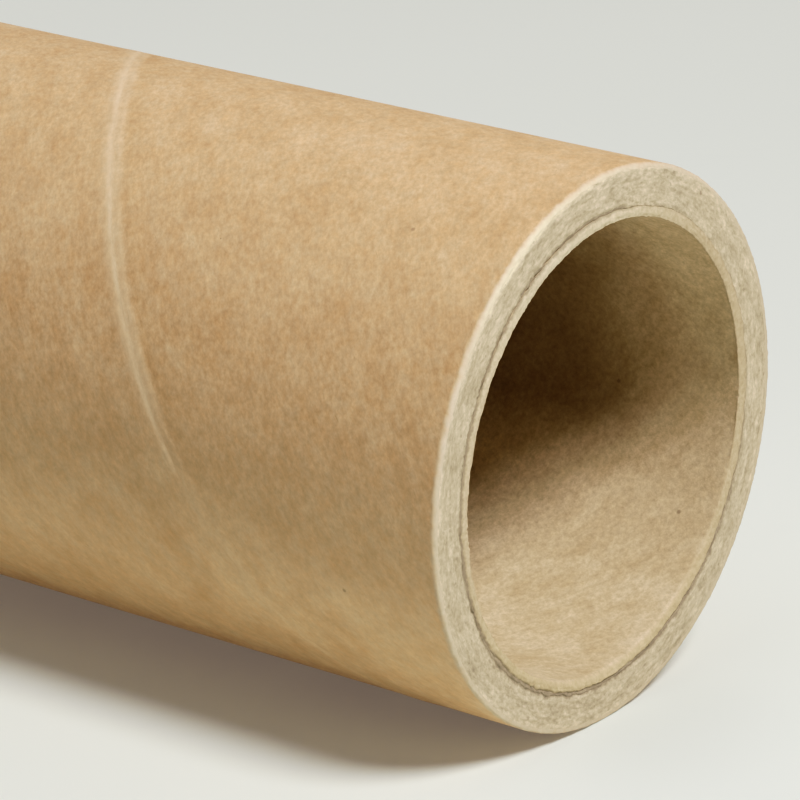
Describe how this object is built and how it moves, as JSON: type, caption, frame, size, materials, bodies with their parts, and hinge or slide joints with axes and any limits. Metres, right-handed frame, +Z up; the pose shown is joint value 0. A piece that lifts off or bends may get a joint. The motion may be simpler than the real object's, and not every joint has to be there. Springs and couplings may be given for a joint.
{
  "type": "cardboard mailing tube",
  "caption": "Heavy-walled spiral-wound cardboard mailing tube, brown kraft outside, grey chipboard wall, open square-cut ends, lying on its side.",
  "frame": {"origin": "on the ground under the middle of the tube, which lies on its side", "axes": "+X along the tube's axis towards the end the picture shows, +Z up, +Y away from the viewer's side"},
  "size_m": [0.33, 0.0616, 0.0616],
  "materials": {
    "kraft_paper": "matt brown kraft paper, faint sheen, fine fibre mottling",
    "chipboard": "rough saw-cut edge of grey recycled board",
    "liner_paper": "matt tan board paper, mottled, slightly fuzzy cut edge"
  },
  "bodies": {
    "root": {"kraft_wrap": "kraft_paper", "board_wall": "chipboard", "inner_liner": "liner_paper"}
  },
  "joints": []
}
